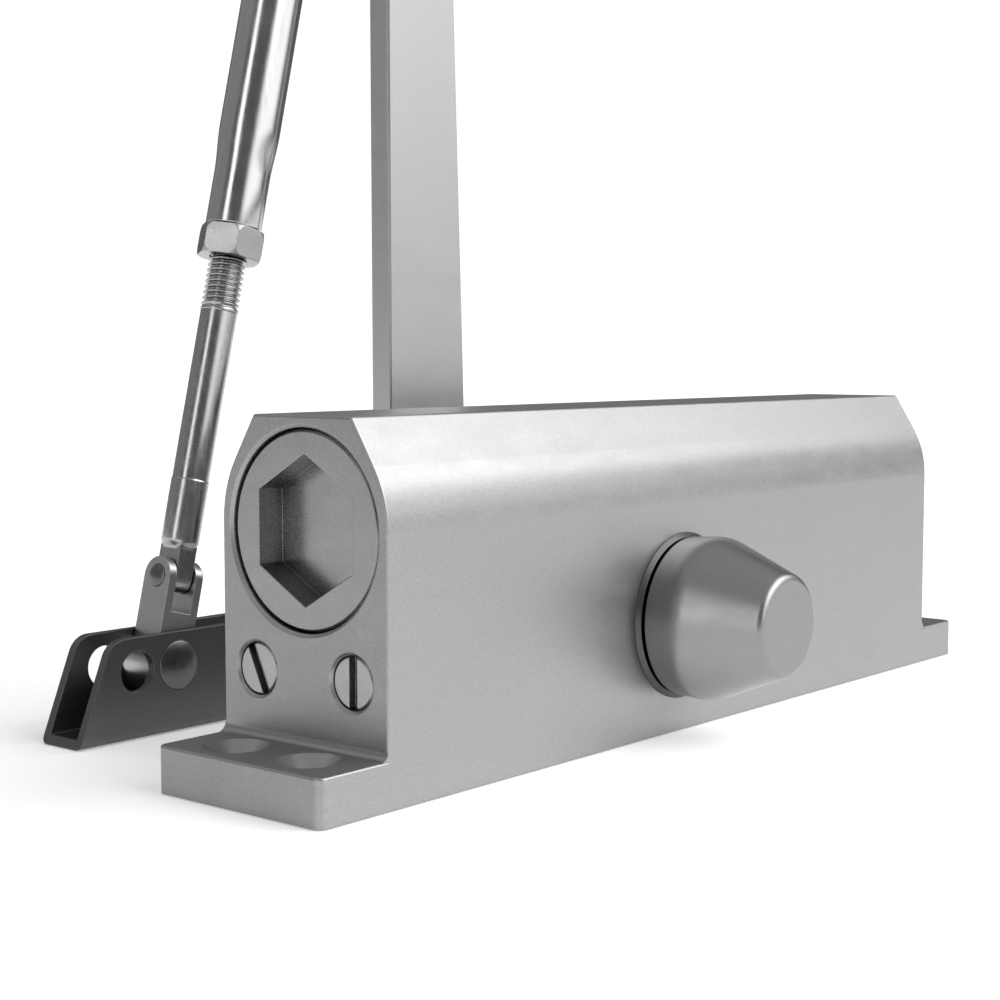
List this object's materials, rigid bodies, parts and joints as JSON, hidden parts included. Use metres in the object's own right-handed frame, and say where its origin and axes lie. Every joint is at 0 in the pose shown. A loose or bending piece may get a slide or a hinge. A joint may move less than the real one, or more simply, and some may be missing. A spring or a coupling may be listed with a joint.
{
  "type": "door closer",
  "caption": "Surface-mounted hydraulic door closer: a spring-loaded rack and pinion in a cast body, with a folding arm, an adjustable forearm and a pivoting shoe.",
  "frame": {"origin": "centre of the four fixing holes, on the mounting face", "axes": "+X along the body away from the valves, +Y along the spindle towards the arm, +Z away from the mounting face"},
  "size_m": [0.239, 0.1247, 0.2969],
  "materials": {
    "body_enamel": "satin silver enamel",
    "plug_steel": "silver enamel over steel",
    "cap_silver": "satin silver coat",
    "valve_zinc": "zinc plate",
    "seal_rubber": "matt",
    "spring_steel": "oiled",
    "piston_iron": "turned",
    "bearing_steel": "ground",
    "arm_enamel": "satin silver enamel",
    "fastener_zinc": "bright zinc plate",
    "bush_bronze": "sintered",
    "tube_zinc": "polished",
    "rod_steel": "rolled thread, zinc plate",
    "yoke_steel": "cast, zinc plate",
    "rivet_steel": "bright",
    "shoe_steel": "dark pressed steel"
  },
  "bodies": {
    "housing": {"housing": "body_enamel", "left_end_plug": "plug_steel", "right_end_plug": "plug_steel", "left_plug_o_ring": "seal_rubber", "right_plug_o_ring": "seal_rubber", "outer_spring": "spring_steel", "inner_spring": "spring_steel", "front_bearing_cup": "bearing_steel", "rear_bearing_cup": "bearing_steel", "front_shaft_seal": "seal_rubber", "rear_shaft_seal": "seal_rubber", "front_gland_nut": "body_enamel", "rear_gland_nut": "body_enamel", "pinion_cap": "cap_silver"},
    "pinion_and_arm": {"pinion": "bearing_steel", "arm_hub": "arm_enamel", "main_arm": "arm_enamel", "arm_screw": "fastener_zinc", "elbow_pin": "fastener_zinc", "elbow_spacer": "fastener_zinc", "elbow_nut": "fastener_zinc"},
    "piston": {"piston": "piston_iron", "check_valve_plug": "bearing_steel"},
    "check_ball": {"check_ball": "bearing_steel"},
    "front_needles": {"front_needles": "bearing_steel"},
    "rear_needles": {"rear_needles": "bearing_steel"},
    "closing_valve": {"closing_valve_screw": "valve_zinc", "closing_valve_o_ring": "seal_rubber"},
    "latching_valve": {"latching_valve_screw": "valve_zinc", "latching_valve_o_ring": "seal_rubber"},
    "forearm": {"forearm_tube": "tube_zinc", "forearm_eye": "tube_zinc", "elbow_bush": "bush_bronze"},
    "lock_nut": {"lock_nut": "fastener_zinc"},
    "rod": {"forearm_rod": "rod_steel"},
    "yoke": {"yoke": "yoke_steel", "clevis_rivet": "rivet_steel"},
    "shoe": {"shoe": "shoe_steel", "shoe_pin": "rivet_steel"}
  },
  "joints": [
    {"name": "pinion_turn", "type": "hinge", "parent": "housing", "child": "pinion_and_arm", "pos_m": [-0.01, 0, 0.025], "axis": [0, 1, 0], "range_deg": [0, 175], "stiffness_Nm_per_rad": 4, "springref_deg": -114.59},
    {"name": "piston_slide", "type": "slide", "parent": "housing", "child": "piston", "axis": [1, 0, 0], "range_m": [0, 0.0367], "deforming": ["outer_spring", "inner_spring"]},
    {"name": "front_needles_roll", "type": "hinge", "parent": "housing", "child": "front_needles", "pos_m": [-0.01, 0, 0.025], "axis": [0, 1, 0], "range_deg": [0, 73]},
    {"name": "rear_needles_roll", "type": "hinge", "parent": "housing", "child": "rear_needles", "pos_m": [-0.01, 0, 0.025], "axis": [0, 1, 0], "range_deg": [0, 73]},
    {"name": "check_ball_lift", "type": "slide", "parent": "piston", "child": "check_ball", "axis": [-1, 0, 0], "range_m": [0, 0.0008]},
    {"name": "closing_valve_turn", "type": "hinge", "parent": "housing", "child": "closing_valve", "pos_m": [-0.1, 0.0124, 0.022], "axis": [-1, 0, 0], "range_deg": [-180, 180]},
    {"name": "latching_valve_turn", "type": "hinge", "parent": "housing", "child": "latching_valve", "pos_m": [-0.1, -0.0124, 0.022], "axis": [-1, 0, 0], "range_deg": [-180, 180]},
    {"name": "elbow_turn", "type": "hinge", "parent": "pinion_and_arm", "child": "forearm", "pos_m": [-0.01513, 0.0669, 0.28755], "axis": [0, 1, 0], "range_deg": [-2, 160]},
    {"name": "lock_nut_turn", "type": "hinge", "parent": "forearm", "child": "lock_nut", "pos_m": [-0.0591, 0.0669, 0.1053], "axis": [0.2345, 0, 0.9721], "range_deg": [-180, 180]},
    {"name": "rod_slide", "type": "slide", "parent": "forearm", "child": "rod", "axis": [-0.2345, 0, -0.9721], "range_m": [-0.005, 0.035]},
    {"name": "yoke_tilt", "type": "hinge", "parent": "rod", "child": "yoke", "pos_m": [-0.07671, 0.0669, 0.03229], "axis": [0.9721, 0, -0.2345], "range_deg": [-12, 12]},
    {"name": "shoe_turn", "type": "hinge", "parent": "yoke", "child": "shoe", "pos_m": [-0.081, 0.0669, 0.0145], "axis": [0, 1, 0], "range_deg": [-48, 75]}
  ],
  "couplings": [
    {"joint": "piston_slide", "follows": "pinion_turn", "m_per_rad": 0.012},
    {"joint": "front_needles_roll", "follows": "pinion_turn", "ratio": 0.41463},
    {"joint": "rear_needles_roll", "follows": "pinion_turn", "ratio": 0.41463}
  ]
}
